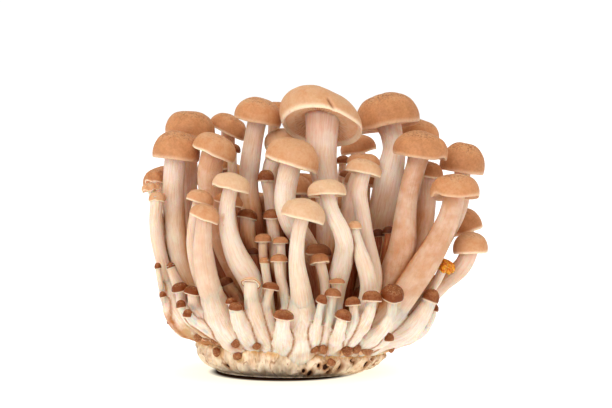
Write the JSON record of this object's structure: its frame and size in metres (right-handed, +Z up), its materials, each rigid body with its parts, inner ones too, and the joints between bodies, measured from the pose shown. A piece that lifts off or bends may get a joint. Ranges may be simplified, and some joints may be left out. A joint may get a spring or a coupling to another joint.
{
  "type": "beech mushroom cluster",
  "caption": "Clump of small brown-capped mushrooms on crowded cream stems, fused at the foot and standing on a cut block of mycelium.",
  "frame": {"origin": "centre of the block's flat underside, where the cluster stands", "axes": "+X to the right and +Y away from the side with the small mushrooms and the tilted largest cap, +Z up the stems"},
  "size_m": [0.1186, 0.1006, 0.0981],
  "materials": {
    "cap_skin": "matt, faintly mottled tan to light brown skin, paler at the rim, cream gills beneath",
    "stem_flesh": "satin cream flesh with fine lengthwise fibres",
    "mycelium": "matt cream felt in upright folds, stained brown in the pits and orange along the upper edge"
  },
  "bodies": {
    "root": {"cap_amber": "cap_skin", "cap_back_button_3": "cap_skin", "cap_back_button_5": "cap_skin", "cap_back_heart_1": "cap_skin", "cap_back_heart_2": "cap_skin", "cap_back_heart_3": "cap_skin", "cap_back_inner_1": "cap_skin", "cap_back_inner_2": "cap_skin", "cap_back_inner_3": "cap_skin", "cap_back_inner_4": "cap_skin", "cap_back_inner_5": "cap_skin", "cap_back_inner_6": "cap_skin", "cap_back_low_1": "cap_skin", "cap_back_low_2": "cap_skin", "cap_back_low_3": "cap_skin", "cap_back_low_4": "cap_skin", "cap_back_low_5": "cap_skin", "cap_back_low_6": "cap_skin", "cap_back_outer_1": "cap_skin", "cap_back_outer_2": "cap_skin", "cap_back_outer_3": "cap_skin", "cap_back_outer_4": "cap_skin", "cap_back_outer_5": "cap_skin", "cap_back_outer_6": "cap_skin", "cap_back_outer_7": "cap_skin", "cap_back_outer_8": "cap_skin", "cap_button_a": "cap_skin", "cap_crown": "cap_skin", "cap_dark_left": "cap_skin", "cap_edge_a": "cap_skin", "cap_far_left": "cap_skin", "cap_far_left_back": "cap_skin", "cap_front_curved": "cap_skin", "cap_front_left_mid": "cap_skin", "cap_front_oval": "cap_skin", "cap_front_tall": "cap_skin", "cap_high_back": "cap_skin", "cap_high_left": "cap_skin", "cap_left_back": "cap_skin", "cap_left_centre": "cap_skin", "cap_left_centre_back": "cap_skin", "cap_left_low": "cap_skin", "cap_left_low_back": "cap_skin", "cap_left_mid_behind": "cap_skin", "cap_left_slant": "cap_skin", "cap_mid_grey": "cap_skin", "cap_mid_shade": "cap_skin", "cap_right_back": "cap_skin", "cap_right_behind": "cap_skin", "cap_right_broad": "cap_skin", "cap_right_dome": "cap_skin", "cap_right_high": "cap_skin", "cap_right_leaning": "cap_skin", "cap_right_low": "cap_skin", "cap_right_mid": "cap_skin", "cap_right_mid_back": "cap_skin", "cap_right_outer": "cap_skin", "cap_right_shade": "cap_skin", "mycelium_block": "mycelium", "stem_mass": "stem_flesh"}
  },
  "joints": []
}
